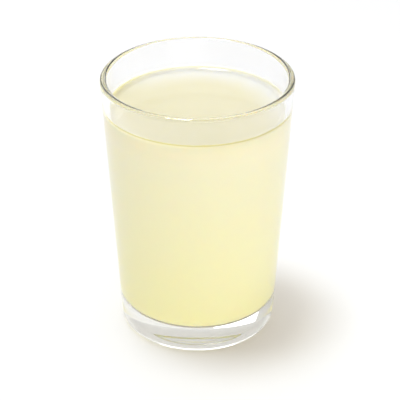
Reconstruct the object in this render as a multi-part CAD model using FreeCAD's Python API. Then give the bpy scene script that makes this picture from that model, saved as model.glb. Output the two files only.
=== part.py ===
"""Glass of lemonade: a plain tapered tumbler with a thick base, filled to just under its rim.

Millimetres. The origin is at the middle of the foot and +Z runs up the axis of the glass.
Each piece is one solid turned about Z. Its half outline is drawn in the XZ plane, where the
first number of a place is its distance from the axis and the second its height.
"""
import FreeCAD, Part
import math
import os

# Tumbler
GLASS_HEIGHT = 112.0
RIM_DIAMETER = 78.2       # where the outer wall, carried straight up, would meet the top
FOOT_DIAMETER = 64.5      # where the outer wall, carried straight down, would meet the table
WALL = 2.8                # measured level, from the outer wall to the inner one
BASE_THICKNESS = 11.0     # from the table to the floor of the inside
RIM_FLAT = 0.2            # what the two fire-polished rounds leave flat on top of the rim
HEEL_ROUND = 3.3          # outer round between wall and foot
BOWL_ROUND = 5.0          # inner round between wall and floor
FOOT_RING = 9.0           # width of the flat ring that the glass stands on
RECESS_DEPTH = 0.8        # how far the underside rises inside that ring

# Lemonade
FILL_GAP = 13.5           # from the top of the rim down to the still surface
MENISCUS_RISE = 1.7       # how far the surface climbs the glass
MENISCUS_WIDTH = 2.8      # how far from the glass that climb starts

# Worked out from the sizes above
RIM_RADIUS = RIM_DIAMETER / 2
FOOT_RADIUS = FOOT_DIAMETER / 2
TAPER = math.atan((RIM_RADIUS - FOOT_RADIUS) / GLASS_HEIGHT)
RIM_ROUND = (WALL - RIM_FLAT) * math.cos(TAPER) / 2
SURFACE_HEIGHT = GLASS_HEIGHT - FILL_GAP
CONTACT_HEIGHT = SURFACE_HEIGHT + MENISCUS_RISE


def outer_radius(height):
    """Radius of the straight outer wall."""
    return FOOT_RADIUS + height * math.tan(TAPER)


def inner_radius(height):
    """Radius of the straight inner wall, which the lemonade touches."""
    return outer_radius(height) - WALL


def place(radius, height):
    return FreeCAD.Vector(radius, 0, height)


def round_corner(before, corner, after, radius):
    """Start, middle and end of the arc of this radius that rounds a corner."""
    back = (before - corner).normalize()
    ahead = (after - corner).normalize()
    half_angle = back.getAngle(ahead) / 2
    reach = radius / math.tan(half_angle)
    middle_reach = radius / math.sin(half_angle) - radius
    inward = (back + ahead).normalize()
    return corner + back * reach, corner + inward * middle_reach, corner + ahead * reach


def cap_arc(crown_height, edge_radius, edge_height):
    """Middle of an arc that leaves the axis level, at its crown, and ends at an edge."""
    rise = crown_height - edge_height
    arc_radius = (edge_radius ** 2 + rise ** 2) / (2 * rise)
    half_turn = math.asin(edge_radius / arc_radius) / 2
    return place(arc_radius * math.sin(half_turn),
                 crown_height - arc_radius * (1 - math.cos(half_turn)))


def bowl_corner():
    """The rounded inner corner, from the wall to the floor: the glass and its fill share it."""
    wall_top = place(inner_radius(GLASS_HEIGHT), GLASS_HEIGHT)
    corner = place(inner_radius(BASE_THICKNESS), BASE_THICKNESS)
    return round_corner(wall_top, corner, place(0, BASE_THICKNESS), BOWL_ROUND)


def arc(start, middle, end):
    return Part.Arc(start, middle, end).toShape()


def line(start, end):
    return Part.LineSegment(start, end).toShape()


def turned(edges):
    """The solid that a closed half outline sweeps about the axis of the glass."""
    face = Part.Face(Part.Wire(edges))
    return face.revolve(FreeCAD.Vector(0, 0, 0), FreeCAD.Vector(0, 0, 1), 360)


def tumbler():
    """Clear glass: domed recess, foot ring, heel, outer wall, rounded rim, inner wall, floor."""
    foot_corner = place(FOOT_RADIUS, 0)
    rim_outside = place(RIM_RADIUS, GLASS_HEIGHT)
    rim_inside = place(RIM_RADIUS - WALL, GLASS_HEIGHT)
    floor_middle = place(0, BASE_THICKNESS)

    heel = round_corner(place(0, 0), foot_corner, rim_outside, HEEL_ROUND)
    rim_outer = round_corner(foot_corner, rim_outside, rim_inside, RIM_ROUND)
    bowl = bowl_corner()
    rim_inner = round_corner(rim_outside, rim_inside, bowl[0], RIM_ROUND)

    recess_crown = place(0, RECESS_DEPTH)
    recess_edge = place(heel[0].x - FOOT_RING, 0)
    recess_middle = cap_arc(RECESS_DEPTH, recess_edge.x, 0)

    return turned([
        arc(recess_crown, recess_middle, recess_edge),
        line(recess_edge, heel[0]),
        arc(*heel),
        line(heel[2], rim_outer[0]),
        arc(*rim_outer),
        line(rim_outer[2], rim_inner[0]),
        arc(*rim_inner),
        line(rim_inner[2], bowl[0]),
        arc(*bowl),
        line(bowl[2], floor_middle),
        line(floor_middle, recess_crown),
    ])


def lemonade():
    """The drink: it fills the inside up to a level surface that climbs a little at the glass."""
    floor_middle = place(0, BASE_THICKNESS)
    surface_middle = place(0, SURFACE_HEIGHT)
    bowl = bowl_corner()
    contact = place(inner_radius(CONTACT_HEIGHT), CONTACT_HEIGHT)
    still_edge = place(contact.x - MENISCUS_WIDTH, SURFACE_HEIGHT)

    climb_radius = (MENISCUS_WIDTH ** 2 + MENISCUS_RISE ** 2) / (2 * MENISCUS_RISE)
    half_climb = math.asin(MENISCUS_WIDTH / climb_radius) / 2
    climb_middle = still_edge + place(climb_radius * math.sin(half_climb),
                                      climb_radius * (1 - math.cos(half_climb)))

    return turned([
        line(floor_middle, bowl[2]),
        arc(bowl[2], bowl[1], bowl[0]),
        line(bowl[0], contact),
        arc(contact, climb_middle, still_edge),
        line(still_edge, surface_middle),
        line(surface_middle, floor_middle),
    ])


def main():
    os.makedirs("parts", exist_ok=True)
    for name, solid in (("tumbler", tumbler()), ("lemonade", lemonade())):
        solid.exportStep("parts/" + name + ".step")
        print(f"{name}: {solid.ShapeType}, valid {solid.isValid()}, {solid.Volume / 1000:.1f} cm3,"
              f" {solid.BoundBox.XLength:.2f} x {solid.BoundBox.YLength:.2f} x {solid.BoundBox.ZLength:.2f} mm")


main()
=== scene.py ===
"""Looks for the glass of lemonade: a clear tumbler and the cloudy drink in it, on a white table.

Metres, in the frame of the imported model: origin at the middle of the foot, +Z up the axis.
Both pieces are half outlines, drawn in the XZ plane from named sizes and turned about Z by
Geometry Nodes. The tumbler and the lemonade then become plain meshes that ride on the body.
"""
import bpy
import math
from mathutils import Euler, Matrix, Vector


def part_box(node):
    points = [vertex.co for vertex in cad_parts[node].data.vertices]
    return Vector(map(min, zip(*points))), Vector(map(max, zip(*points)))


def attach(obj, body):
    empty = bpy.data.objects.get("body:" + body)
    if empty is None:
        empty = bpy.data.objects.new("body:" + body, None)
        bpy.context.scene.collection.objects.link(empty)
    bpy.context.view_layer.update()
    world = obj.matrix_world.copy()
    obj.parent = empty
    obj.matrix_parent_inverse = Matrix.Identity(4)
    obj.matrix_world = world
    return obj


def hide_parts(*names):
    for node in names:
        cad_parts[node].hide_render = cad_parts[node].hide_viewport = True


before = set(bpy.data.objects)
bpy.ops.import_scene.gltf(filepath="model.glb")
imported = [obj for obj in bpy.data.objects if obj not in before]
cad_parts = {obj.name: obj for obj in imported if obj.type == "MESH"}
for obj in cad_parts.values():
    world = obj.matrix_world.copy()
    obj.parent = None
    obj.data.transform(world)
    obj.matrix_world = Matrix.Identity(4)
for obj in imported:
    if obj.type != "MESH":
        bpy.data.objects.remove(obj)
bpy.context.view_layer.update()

MM = 0.001

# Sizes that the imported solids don't give by their boxes
WALL = 2.8 * MM
RIM_RADIUS = 39.1 * MM
FOOT_RADIUS = 32.25 * MM
RIM_FLAT = 0.2 * MM
HEEL_ROUND = 3.3 * MM
BOWL_ROUND = 5.0 * MM
FOOT_RING = 9.0 * MM
RECESS_DEPTH = 0.8 * MM
MENISCUS_RISE = 1.7 * MM
MENISCUS_WIDTH = 2.8 * MM
BITE = 0.15 * MM            # how far the lemonade reaches into the glass, so that no gap shows

# Sizes from the frame
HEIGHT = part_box("tumbler")[1].z
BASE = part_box("lemonade")[0].z
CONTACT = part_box("lemonade")[1].z
LEVEL = CONTACT - MENISCUS_RISE
TAPER = math.atan((RIM_RADIUS - FOOT_RADIUS) / HEIGHT)
CONTACT_RADIUS = FOOT_RADIUS + CONTACT * math.tan(TAPER) - WALL
RIM_ROUND = (WALL - RIM_FLAT) * math.cos(TAPER) / 2

# How finely the outlines are turned
SEGMENTS = 256
CORNER_STEPS = 12
ROW = 2.0 * MM
WELD = 0.002 * MM

# By the upward part of a face's normal, which of the drink's faces get which finish
SURFACE_OVER = 0.2
UNDERSIDE_UNDER = -0.9


# ---------------------------------------------------------------- node trees

class Tree:
    """A Geometry Nodes tree with named inputs, and short ways to add and join its nodes."""

    KINDS = {"size": "NodeSocketFloat", "count": "NodeSocketInt", "material": "NodeSocketMaterial",
             "geometry": "NodeSocketGeometry"}

    def __init__(self, name, inputs):
        self.group = bpy.data.node_groups.new(name, "GeometryNodeTree")
        for label, kind in inputs.items():
            self.group.interface.new_socket(label, in_out="INPUT", socket_type=self.KINDS[kind])
        self.group.interface.new_socket("Result", in_out="OUTPUT", socket_type=self.KINDS["geometry"])
        self.entry = self.group.nodes.new("NodeGroupInput")
        self.exit = self.group.nodes.new("NodeGroupOutput")

    def given(self, label):
        return self.entry.outputs[label]

    def add(self, kind, feeds=(), **settings):
        """Adds a node. feeds maps an input's identifier to a socket or a value."""
        node = self.group.nodes.new(kind)
        for key, value in settings.items():
            setattr(node, key, value)
        by_identifier = {socket.identifier: socket for socket in node.inputs}
        for identifier, value in dict(feeds).items():
            self.feed(by_identifier[identifier], value)
        return node

    def feed(self, socket, value):
        if isinstance(value, bpy.types.NodeSocket):
            self.group.links.new(value, socket)
        else:
            socket.default_value = value

    def math(self, operation, a, b=0.0):
        return self.add("ShaderNodeMath", {"Value": a, "Value_001": b}, operation=operation).outputs[0]

    def whole(self, operation, a, b):
        return self.add("FunctionNodeIntegerMath", {"Value": a, "Value_001": b},
                        operation=operation).outputs[0]

    def place(self, radius, height):
        return self.add("ShaderNodeCombineXYZ", {"X": radius, "Z": height}).outputs[0]

    def pick(self, values, data_type):
        """The value whose number is the point's index."""
        switch = self.add("GeometryNodeIndexSwitch", data_type=data_type)
        while len(switch.index_switch_items) < len(values):
            switch.index_switch_items.new()
        self.feed(switch.inputs["Index"], self.add("GeometryNodeInputIndex").outputs[0])
        for number, value in enumerate(values):
            self.feed(switch.inputs[str(number)], value)
        return switch.outputs[0]

    def finish(self, geometry):
        self.feed(self.exit.inputs[0], geometry)
        return self.group


def outline(tree, corners):
    """A curve through corners of (radius, height, round), each rounded by an arc of its round."""
    line = tree.add("GeometryNodeMeshLine", {"Count": len(corners), "Offset": (0.01, 0, 0)})
    path = tree.add("GeometryNodeMeshToCurve", {"Mesh": line.outputs[0]})
    places = tree.pick([tree.place(radius, height) for radius, height, _ in corners], "VECTOR")
    placed = tree.add("GeometryNodeSetPosition", {"Geometry": path.outputs[0], "Position": places})
    rounds = tree.pick([round_radius for _, _, round_radius in corners], "FLOAT")
    rounded = tree.add("GeometryNodeFilletCurve",
                       {"Curve": placed.outputs[0], "Count": tree.given("Corner steps"), "Radius": rounds},
                       mode="POLY")
    return rounded.outputs[0]


def outer_radius(tree, height):
    """Radius of the straight outer wall at a height."""
    spread = tree.math("SUBTRACT", tree.given("Rim radius"), tree.given("Foot radius"))
    share = tree.math("DIVIDE", height, tree.given("Height"))
    return tree.math("ADD", tree.given("Foot radius"), tree.math("MULTIPLY", spread, share))


def inner_radius(tree, height):
    """Radius of the straight inner wall at a height."""
    return tree.math("SUBTRACT", outer_radius(tree, height), tree.given("Wall"))


def level_arc(tree, run, rise):
    """For an arc that starts level and ends after this run and rise: how far along its start the
    tangents of its two ends meet, and its radius. A corner there with that round is the arc."""
    squares = tree.math("ADD", tree.math("MULTIPLY", run, run), tree.math("MULTIPLY", rise, rise))
    reach = tree.math("DIVIDE", squares, tree.math("MULTIPLY", run, 2.0))
    radius = tree.math("DIVIDE", squares, tree.math("MULTIPLY", rise, 2.0))
    return reach, radius


def turning_tree():
    """Turns an outline about Z: rows along the outline, columns round the axis, then welded."""
    tree = Tree("turn about the axis", {"Outline": "geometry", "Row height": "size",
                                        "Segments": "count", "Weld": "size"})
    index = tree.add("GeometryNodeInputIndex").outputs[0]
    position = tree.add("GeometryNodeInputPosition").outputs[0]

    # straight stretches are cut into rows, so that the shading stays even along them
    following = tree.add("GeometryNodeFieldAtIndex",
                         {"Value": position, "Index": tree.whole("ADD", index, 1)},
                         data_type="FLOAT_VECTOR", domain="POINT")
    stretch = tree.add("ShaderNodeVectorMath", {"Vector": position, "Vector_001": following.outputs[0]},
                       operation="DISTANCE").outputs["Value"]
    cuts = tree.add("FunctionNodeFloatToInt",
                    {"Float": tree.math("DIVIDE", stretch, tree.given("Row height"))},
                    rounding_mode="FLOOR")
    rows = tree.add("GeometryNodeSubdivideCurve",
                    {"Curve": tree.given("Outline"), "Cuts": cuts.outputs[0]}).outputs[0]

    row_count = tree.add("GeometryNodeAttributeDomainSize", {"Geometry": rows},
                         component="CURVE").outputs["Point Count"]
    grid = tree.add("GeometryNodeMeshGrid",
                    {"Vertices X": tree.whole("ADD", tree.given("Segments"), 1),
                     "Vertices Y": row_count})
    column = tree.whole("DIVIDE_FLOOR", index, row_count)
    row = tree.whole("MODULO", index, row_count)
    on_outline = tree.add("GeometryNodeSampleIndex",
                          {"Geometry": rows, "Value": position, "Index": row},
                          data_type="FLOAT_VECTOR", domain="POINT")
    step = tree.math("DIVIDE", math.tau, tree.given("Segments"))
    angle = tree.math("MULTIPLY", column, step)
    turned = tree.add("ShaderNodeVectorRotate", {"Vector": on_outline.outputs[0], "Angle": angle},
                      rotation_type="Z_AXIS")
    placed = tree.add("GeometryNodeSetPosition",
                      {"Geometry": grid.outputs[0], "Position": turned.outputs[0]})
    welded = tree.add("GeometryNodeMergeByDistance",
                      {"Geometry": placed.outputs[0], "Distance": tree.given("Weld")})
    smooth = tree.add("GeometryNodeSetShadeSmooth", {"Geometry": welded.outputs[0]})
    return tree.finish(smooth.outputs[0])


def turn(tree, outline_curve, turning):
    """The turned shape of an outline, in the tree that drew it."""
    node = tree.add("GeometryNodeGroup", node_tree=turning)
    tree.feed(node.inputs["Outline"], outline_curve)
    for label in ("Row height", "Segments", "Weld"):
        tree.feed(node.inputs[label], tree.given(label))
    return node.outputs[0]


TURNING_INPUTS = {"Corner steps": "count", "Row height": "size", "Segments": "count", "Weld": "size"}


def tumbler_tree(turning):
    """Clear glass: domed recess, foot ring, heel, outer wall, rounded rim, inner wall, floor."""
    sizes = ("Height", "Rim radius", "Foot radius", "Wall", "Base", "Rim round", "Heel round",
             "Bowl round", "Foot ring", "Recess depth")
    tree = Tree("tumbler", {**{label: "size" for label in sizes}, **TURNING_INPUTS, "Glass": "material"})
    heel_start = tree.math("SUBTRACT", tree.given("Foot radius"), tree.given("Heel round"))
    ring_inside = tree.math("SUBTRACT", heel_start, tree.given("Foot ring"))
    reach, dome_radius = level_arc(tree, ring_inside, tree.given("Recess depth"))
    rim_inside = tree.math("SUBTRACT", tree.given("Rim radius"), tree.given("Wall"))
    curve = outline(tree, [
        (0.0, tree.given("Recess depth"), 0.0),
        (reach, tree.given("Recess depth"), dome_radius),
        (ring_inside, 0.0, 0.0),
        (tree.given("Foot radius"), 0.0, tree.given("Heel round")),
        (tree.given("Rim radius"), tree.given("Height"), tree.given("Rim round")),
        (rim_inside, tree.given("Height"), tree.given("Rim round")),
        (inner_radius(tree, tree.given("Base")), tree.given("Base"), tree.given("Bowl round")),
        (0.0, tree.given("Base"), 0.0),
    ])
    solid = tree.add("GeometryNodeRealizeInstances", {"Geometry": turn(tree, curve, turning)})
    made = tree.add("GeometryNodeSetMaterial",
                    {"Geometry": solid.outputs[0], "Material": tree.given("Glass")})
    return tree.finish(made.outputs[0])


def lemonade_tree(turning):
    """The drink, reaching just into the glass, with a surface that climbs a little at the wall."""
    sizes = ("Height", "Rim radius", "Foot radius", "Wall", "Base", "Bowl round", "Level",
             "Meniscus rise", "Meniscus width", "Bite")
    tree = Tree("lemonade", {**{label: "size" for label in sizes}, **TURNING_INPUTS,
                             "Drink": "material", "Underside": "material", "Surface": "material"})
    bite = tree.given("Bite")
    contact = tree.math("ADD", tree.given("Level"), tree.given("Meniscus rise"))
    contact_radius = tree.math("ADD", inner_radius(tree, contact), bite)
    floor = tree.math("SUBTRACT", tree.given("Base"), bite)
    run = tree.math("ADD", tree.given("Meniscus width"), bite)
    reach, climb_radius = level_arc(tree, run, tree.given("Meniscus rise"))
    climb_corner = tree.math("ADD", tree.math("SUBTRACT", contact_radius, run), reach)
    curve = outline(tree, [
        (0.0, floor, 0.0),
        (tree.math("ADD", inner_radius(tree, floor), bite), floor,
         tree.math("ADD", tree.given("Bowl round"), bite)),
        (contact_radius, contact, 0.0),
        (climb_corner, tree.given("Level"), climb_radius),
        (0.0, tree.given("Level"), 0.0),
    ])
    solid = tree.add("GeometryNodeRealizeInstances", {"Geometry": turn(tree, curve, turning)})
    body = tree.add("GeometryNodeSetMaterial",
                    {"Geometry": solid.outputs[0], "Material": tree.given("Drink")})
    facing = tree.add("ShaderNodeSeparateXYZ",
                      {"Vector": tree.add("GeometryNodeInputNormal").outputs[0]}).outputs["Z"]
    upward = tree.add("FunctionNodeCompare", {"A": facing, "B": SURFACE_OVER},
                      data_type="FLOAT", operation="GREATER_THAN")
    topped = tree.add("GeometryNodeSetMaterial",
                      {"Geometry": body.outputs[0], "Selection": upward.outputs[0],
                       "Material": tree.given("Surface")})
    downward = tree.add("FunctionNodeCompare", {"A": facing, "B": UNDERSIDE_UNDER},
                        data_type="FLOAT", operation="LESS_THAN")
    made = tree.add("GeometryNodeSetMaterial",
                    {"Geometry": topped.outputs[0], "Selection": downward.outputs[0],
                     "Material": tree.given("Underside")})
    return tree.finish(made.outputs[0])


def grown(name, group, values):
    """Runs a tree with these named values and returns what it makes as a plain mesh object."""
    seed = bpy.data.objects.new(name + "_seed", bpy.data.meshes.new(name + "_seed"))
    bpy.context.scene.collection.objects.link(seed)
    modifier = seed.modifiers.new("tree", "NODES")
    modifier.node_group = group
    for item in group.interface.items_tree:
        if item.item_type == "SOCKET" and item.in_out == "INPUT":
            modifier[item.identifier] = values[item.name]
    bpy.context.view_layer.update()
    evaluated = seed.evaluated_get(bpy.context.evaluated_depsgraph_get())
    mesh = bpy.data.meshes.new_from_object(evaluated)
    bpy.data.objects.remove(seed)
    mesh.name = name
    piece = bpy.data.objects.new(name, mesh)
    bpy.context.scene.collection.objects.link(piece)
    return piece


# ---------------------------------------------------------------- materials

GLASS_IOR = 1.52
DRINK_IOR = 1.34
GLASS_COLOUR = (0.97, 0.97, 0.98, 1)
GLASS_TINT = (0.70, 0.69, 0.34, 1)      # what a long way through the glass leaves of each colour
GLASS_DENSITY = 1.8
LAMP_THROUGH_WALL = (0.94, 0.92, 0.84, 1)
SOFT_THROUGH_WALL = (0.97, 0.97, 0.95, 1)
LAMP_THROUGH_DRINK = (0.52, 0.45, 0.33, 1)      # what each of the drink's faces lets through

SINK_DEPTH = 3 * MM                     # how far light goes into the drink before it scatters
SINK_SHARES = (1.0, 0.9, 0.6)           # the share of that depth that red, green and blue go
UNDERSIDE_SINK_DEPTH = 99 * MM
EDGE_SINK_DEPTH = 0.2 * MM              # small at the thin climbing edge, which would shine through
THIN_FROM = 5 * MM                      # how far below the edge that depth starts to shrink
THIN_TO = 0.5 * MM                      # and how far below it has shrunk to that of the edge
CLOUD_SCALE = 28                        # noise cells to a metre
PULP_DRIFT = 0.12                       # how far pulp shifts a place on the side's course of colour

# The side's yellow low and high: deeper below, and paler above partly as painted light from the open
# surface
DEEP_YELLOW = (0.988, 0.868, 0.475, 1)
PALE_YELLOW = (0.968, 0.872, 0.645, 1)
# The open surface's colours are painted much darker than the side's, as painted shade, since the open
# surface takes far more light
SHADED_CLEAR_SURFACE = (0.52, 0.491, 0.332, 1)
SHADED_THICK_SURFACE = (0.55, 0.521, 0.375, 1)
# The underside's colours are painted paler than the drink's own, as painted light, since little light
# reaches it through the base
LIT_CLEAR_UNDERSIDE = (0.998, 0.965, 0.76, 1)
LIT_THICK_UNDERSIDE = (0.998, 0.965, 0.80, 1)
# A painted reflection: the surface is painted paler near the glass on one side, in place of the bright
# light behind that it would mirror
PAINTED_REFLECTION = (0.585, 0.595, 0.59, 1)
REFLECTION_STRENGTH = 0.85                      # how much of the drink's own colour the painted reflection hides where it is full
REFLECTION_REACH = 16 * MM                   # how far in from the glass the painted reflection starts
REFLECTION_FULL = 1 * MM                     # and how far in it is full
REFLECTION_SIDE = (0.45, 0.89)               # the way, from the axis, that the painted reflection lies
REFLECTION_START = -0.2                      # where it starts along that way, in radii of the surface
REFLECTION_END = 0.8                         # and where it is full
# A fine dark olive line of painted shade where the surface meets the glass
EDGE_SHADE_LINE = (0.46, 0.45, 0.30, 1)
EDGE_SHADE_SHARE = 0.35
EDGE_SHADE_START = 0.7 * MM              # how far in from the glass the painted shade line starts
EDGE_SHADE_FULL = 0.4 * MM               # and how far in it is full
EDGE_BAND = 10 * MM                     # the stretch below the edge over which the side is painted darker, as painted shade
# painted shade down the side below the climbing edge, darkest at its top as an olive line
EDGE_PAINTED_SHADE = [(0.0, (1, 1, 1, 1)), (0.5, (0.94, 0.98, 0.98, 1)), (0.8, (0.88, 0.945, 0.95, 1)),
                  (0.92, (0.84, 0.90, 0.89, 1)), (0.94, (0.65, 0.68, 0.46, 1)),
                  (1.0, (0.65, 0.68, 0.46, 1))]


class Shading:
    """The shader nodes of a material or a world, with short ways to add and join them."""

    def __init__(self, owner):
        owner.use_nodes = True
        self.nodes = owner.node_tree.nodes
        self.links = owner.node_tree.links

    def feed(self, node, feeds):
        """Joins or sets a node's inputs. feeds maps an input's name or number to a socket or a value."""
        for label, value in feeds.items():
            if isinstance(value, bpy.types.NodeSocket):
                self.links.new(value, node.inputs[label])
            else:
                node.inputs[label].default_value = value

    def add(self, kind, feeds=None, **settings):
        node = self.nodes.new(kind)
        for key, value in settings.items():
            setattr(node, key, value)
        self.feed(node, feeds or {})
        return node

    def place(self):
        """Where a point lies on the piece."""
        return self.add("ShaderNodeTexCoord").outputs["Object"]

    def noise(self, scale, detail):
        return self.add("ShaderNodeTexNoise",
                        {"Vector": self.place(), "Scale": scale, "Detail": detail}).outputs["Fac"]

    def share(self, value, start, end, low=0.0, high=1.0, course="LINEAR"):
        """Turns a value that goes from start to end into one that goes from low to high."""
        ends = {"From Min": start, "From Max": end, "To Min": low, "To Max": high}
        return self.add("ShaderNodeMapRange", {"Value": value, **ends},
                        interpolation_type=course).outputs["Result"]

    def ramp(self, value, stops):
        """Blends through colours that are given as (place from 0 to 1, colour)."""
        node = self.add("ShaderNodeValToRGB", {"Fac": value})
        elements = node.color_ramp.elements
        elements[0].position, elements[0].color = stops[0]
        elements[1].position, elements[1].color = stops[-1]
        for place, colour in stops[1:-1]:
            elements.new(place).color = colour
        return node.outputs["Color"]

    def blend(self, share, colour, other, way="MIX"):
        return self.add("ShaderNodeMix", {"Factor": share, "A": colour, "B": other},
                        data_type="RGBA", blend_type=way).outputs["Result"]

    def mix(self, share, shader, other):
        return self.add("ShaderNodeMixShader", {"Fac": share, 1: shader, 2: other}).outputs[0]

    def open_to(self, ray, colour, shader):
        """Lets one kind of ray pass straight through, tinted; any other meets the shader."""
        clear = self.add("ShaderNodeBsdfTransparent", {"Color": colour})
        return self.mix(self.add("ShaderNodeLightPath").outputs[ray], shader, clear.outputs[0])


def new_material(name):
    """A material, its nodes, its main shader and its output."""
    material = bpy.data.materials.new(name)
    shading = Shading(material)
    return material, shading, shading.nodes["Principled BSDF"], shading.nodes["Material Output"]


def clear_glass():
    """Clear soda-lime glass with the faint unevenness of a pressed and fire-polished piece."""
    material, shading, shader, output = new_material("clear_glass")
    swell = shading.add("ShaderNodeBump", {"Strength": 0.15, "Distance": 0.1 * MM,
                                           "Height": shading.noise(scale=45, detail=1)})
    shading.feed(shader, {"Base Color": GLASS_COLOUR, "Transmission Weight": 1.0, "IOR": GLASS_IOR,
                          "Roughness": 0.0, "Normal": swell.outputs["Normal"]})
    surface = shading.open_to("Is Shadow Ray", LAMP_THROUGH_WALL, shader.outputs[0])
    surface = shading.open_to("Is Diffuse Ray", SOFT_THROUGH_WALL, surface)
    depth = shading.add("ShaderNodeVolumeAbsorption", {"Color": GLASS_TINT, "Density": GLASS_DENSITY})
    shading.feed(output, {"Surface": surface, "Volume": depth.outputs[0]})
    return material


def cloudy(shading, clear, thick):
    """Two colours that drift into each other like pulp in a still drink."""
    return shading.ramp(shading.noise(CLOUD_SCALE, detail=3), [(0.3, clear), (0.7, thick)])


def drink_colour(shading, height):
    """Pale yellow that deepens downwards, its paler top partly painted light, with faint drifting
    clouds of pulp. The thin climbing edge is painted darker as painted shade, and its very top shows as a
    fine olive line of painted shade."""
    pulp = shading.noise(CLOUD_SCALE, detail=3)
    rise = shading.share(height, BASE, LEVEL)
    drifted = shading.add("ShaderNodeMath", {0: pulp, 1: PULP_DRIFT, 2: rise},
                          operation="MULTIPLY_ADD").outputs[0]
    yellow = shading.ramp(drifted, [(0.0, DEEP_YELLOW), (1.0, PALE_YELLOW)])
    # painted shade: the side darkens towards the climbing edge and ends in a dark olive line
    edge = shading.ramp(shading.share(height, CONTACT - EDGE_BAND, CONTACT), EDGE_PAINTED_SHADE)
    return shading.blend(1.0, yellow, edge, way="MULTIPLY")


def soak(shading, shader, colour, depth):
    """Light sinks into the cloudy drink and scatters back out."""
    shading.feed(shader, {"Base Color": colour, "Subsurface Weight": 1.0,
                          "Subsurface Radius": SINK_SHARES, "Subsurface Scale": depth})


def tinted_shadow(shading, surface, output):
    """Some of the lamps' light gets through the drink, which leaves its shadow warm and soft."""
    passed = shading.open_to("Is Shadow Ray", LAMP_THROUGH_DRINK, surface)
    shading.feed(output, {"Surface": passed})


def against_glass(shading, shader, output):
    """Where the drink lies against the glass it has no gloss of its own, and light that meets it
    at a shallow angle is turned back into the glass."""
    shading.feed(shader, {"Roughness": 0.9, "Specular IOR Level": 0.0})
    mirror = shading.add("ShaderNodeBsdfGlossy", {"Roughness": 0.0})
    shallow = shading.add("ShaderNodeFresnel", {"IOR": DRINK_IOR / GLASS_IOR})
    surface = shading.mix(shallow.outputs[0], shader.outputs[0], mirror.outputs[0])
    tinted_shadow(shading, surface, output)


def cloudy_drink():
    """The body of the drink behind the glass."""
    material, shading, shader, output = new_material("cloudy_drink")
    height = shading.add("ShaderNodeSeparateXYZ", {"Vector": shading.place()}).outputs["Z"]
    depth = shading.share(height, CONTACT - THIN_FROM, CONTACT - THIN_TO,
                          low=SINK_DEPTH, high=EDGE_SINK_DEPTH)
    soak(shading, shader, drink_colour(shading, height), depth)
    against_glass(shading, shader, output)
    return material


def drink_underside():
    """The bottom of the drink on the thick base, painted paler than the drink as painted light. Where
    light is turned back there, the base shows the table behind instead of the drink."""
    material, shading, shader, output = new_material("drink_underside")
    # painted light: paler colours than the drink's own
    soak(shading, shader, cloudy(shading, LIT_CLEAR_UNDERSIDE, LIT_THICK_UNDERSIDE), UNDERSIDE_SINK_DEPTH)
    against_glass(shading, shader, output)
    return material


def distance_from_axis(shading):
    level = shading.add("ShaderNodeVectorMath", {0: shading.place(), 1: (1, 1, 0)},
                        operation="MULTIPLY").outputs[0]
    return shading.add("ShaderNodeVectorMath", {0: level}, operation="LENGTH").outputs["Value"]


def froth_share(shading, from_axis):
    """How much painted reflection lies at a point: most near the glass, on one side of the surface."""
    near_glass = shading.share(from_axis, CONTACT_RADIUS - REFLECTION_REACH, CONTACT_RADIUS - REFLECTION_FULL,
                               high=REFLECTION_STRENGTH, course="SMOOTHSTEP")
    across, along = REFLECTION_SIDE
    side = (across / CONTACT_RADIUS, along / CONTACT_RADIUS, 0)
    aside = shading.add("ShaderNodeVectorMath", {0: shading.place(), 1: side},
                        operation="DOT_PRODUCT").outputs["Value"]
    on_side = shading.share(aside, REFLECTION_START, REFLECTION_END, course="SMOOTHSTEP")
    return shading.add("ShaderNodeMath", {0: near_glass, 1: on_side}, operation="MULTIPLY").outputs[0]


def still_surface():
    """The open surface of the drink: smooth and wet, painted darker than the side as painted shade, with a
    painted reflection along one side and a fine line of painted shade where it touches the glass."""
    material, shading, shader, output = new_material("still_surface")
    from_axis = distance_from_axis(shading)
    # painted shade: the surface's colours are darker than the side's
    drink = cloudy(shading, SHADED_CLEAR_SURFACE, SHADED_THICK_SURFACE)
    # painted reflection: paler near the glass on one side
    reflected = shading.blend(froth_share(shading, from_axis), drink, PAINTED_REFLECTION)
    # painted shade: a fine dark line where the surface meets the glass
    edge_shade = shading.share(from_axis, CONTACT_RADIUS - EDGE_SHADE_START,
                             CONTACT_RADIUS - EDGE_SHADE_FULL, high=EDGE_SHADE_SHARE)
    soak(shading, shader, shading.blend(edge_shade, reflected, EDGE_SHADE_LINE), SINK_DEPTH)
    shading.feed(shader, {"Roughness": 0.12, "IOR": DRINK_IOR})
    tinted_shadow(shading, shader.outputs[0], output)
    return material


def white_table():
    """Matt white with a hint of blue."""
    material, shading, shader, _ = new_material("white_table")
    shading.feed(shader, {"Base Color": (0.662, 0.666, 0.678, 1), "Roughness": 0.6,
                          "Specular IOR Level": 0.2})
    return material


# ---------------------------------------------------------------- pieces

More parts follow.
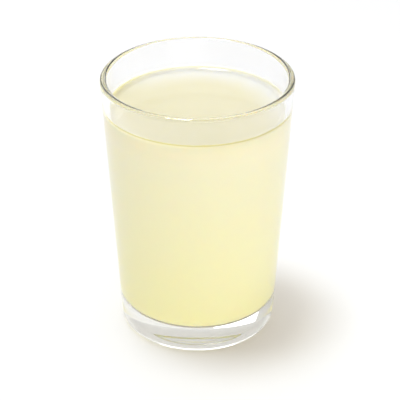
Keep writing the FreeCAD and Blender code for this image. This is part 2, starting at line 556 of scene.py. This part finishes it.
def make_pieces():
    """Grows the tumbler and the drink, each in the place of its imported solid."""
    turning = turning_tree()
    common = {"Height": HEIGHT, "Rim radius": RIM_RADIUS, "Foot radius": FOOT_RADIUS, "Wall": WALL,
              "Base": BASE, "Bowl round": BOWL_ROUND, "Corner steps": CORNER_STEPS,
              "Row height": ROW, "Segments": SEGMENTS, "Weld": WELD}
    tumbler = grown("clear_tumbler", tumbler_tree(turning), {
        **common, "Rim round": RIM_ROUND, "Heel round": HEEL_ROUND, "Foot ring": FOOT_RING,
        "Recess depth": RECESS_DEPTH, "Glass": clear_glass()})
    drink = grown("cloudy_lemonade", lemonade_tree(turning), {
        **common, "Level": LEVEL, "Meniscus rise": MENISCUS_RISE, "Meniscus width": MENISCUS_WIDTH,
        "Bite": BITE, "Drink": cloudy_drink(), "Underside": drink_underside(),
        "Surface": still_surface()})
    for piece, node, slot in ((tumbler, "tumbler", "clear_glass"),
                              (drink, "lemonade", "cloudy_lemonade")):
        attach(piece, "root")
        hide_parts(node)


# ---------------------------------------------------------------- table, light and camera

TABLE_REACH = 6.0
TABLE_GAP = 0.05 * MM       # the air under the foot, which makes the foot's underside a mirror


def make_table():
    """A wide level table for the glass to stand on."""
    corners = [(x * TABLE_REACH, y * TABLE_REACH, -TABLE_GAP)
               for x, y in ((-1, -1), (1, -1), (1, 1), (-1, 1))]
    mesh = bpy.data.meshes.new("table")
    mesh.from_pydata(corners, [], [(0, 1, 2, 3)])
    mesh.materials.append(white_table())
    table = bpy.data.objects.new("table", mesh)
    bpy.context.scene.collection.objects.link(table)


def soft_lamp(name, location, aim, size, power, colour=(1, 1, 1)):
    """A rectangular lamp, size metres across and up, that faces the point it is aimed at."""
    data = bpy.data.lights.new(name, "AREA")
    data.shape = "RECTANGLE"
    data.size, data.size_y = size
    data.energy = power
    data.color = colour
    lamp = bpy.data.objects.new(name, data)
    lamp.location = location
    lamp.rotation_euler = (Vector(aim) - Vector(location)).to_track_quat("-Z", "Y").to_euler()
    bpy.context.scene.collection.objects.link(lamp)


def studio_world():
    """Bright surroundings, brightest to the right and behind, dim and a little olive in front."""
    world = bpy.data.worlds.new("studio")
    shading = Shading(world)
    towards = shading.add("ShaderNodeTexCoord").outputs["Generated"]
    brighter_way = (0.16, 0.16, 0.06)
    slant = shading.add("ShaderNodeVectorMath", {0: towards, 1: brighter_way},
                        operation="DOT_PRODUCT").outputs["Value"]
    strength = shading.share(slant, -0.30, 0.30, low=0.38, high=1.06)
    tint = shading.ramp(strength, [(0.35, (1.0, 0.99, 0.86, 1)), (0.75, (1.0, 1.0, 1.0, 1))])
    shading.feed(shading.nodes["Background"], {"Strength": strength, "Color": tint})
    bpy.context.scene.world = world


def make_light():
    """A key lamp almost overhead, a fill in front, and two behind that show through the glass."""
    studio_world()
    bounces = bpy.context.scene.cycles
    bounces.max_bounces = 24
    bounces.glossy_bounces = 16
    bounces.transmission_bounces = 16
    soft_lamp("key", location=(-0.25, 0.04, 1.49), aim=(0, 0, 0), size=(0.38, 0.38), power=16.0)
    soft_lamp("fill", location=(0.30, -1.27, 0.35), aim=(0, 0, 0.06), size=(1.2, 0.6), power=5.5,
              colour=(1.0, 0.985, 0.93))
    soft_lamp("window", location=(-0.95, 1.96, 1.25), aim=(0, 0, 0), size=(1.25, 0.8), power=5.0)
    soft_lamp("back", location=(0.0, 2.2, 0.92), aim=(0, 0, 0.0985), size=(1.8, 0.48), power=3.4)


def make_camera():
    """A long lens that looks down on the glass, aimed at about half its height."""
    data = bpy.data.cameras.new("camera")
    data.sensor_width = 36.0
    data.lens = 143.4
    camera = bpy.data.objects.new("camera", data)
    pitch = math.radians(29.88)
    distance = 0.663
    aim = Vector((0.97 * MM, 0, 55.0 * MM))
    back = Vector((0, -math.cos(pitch), math.sin(pitch)))
    camera.location = aim + back * distance
    camera.rotation_euler = Euler((math.pi / 2 - pitch, 0, 0))
    bpy.context.scene.collection.objects.link(camera)
    bpy.context.scene.camera = camera
    bpy.context.scene.view_settings.view_transform = "Standard"


make_pieces()
make_table()
make_light()
make_camera()
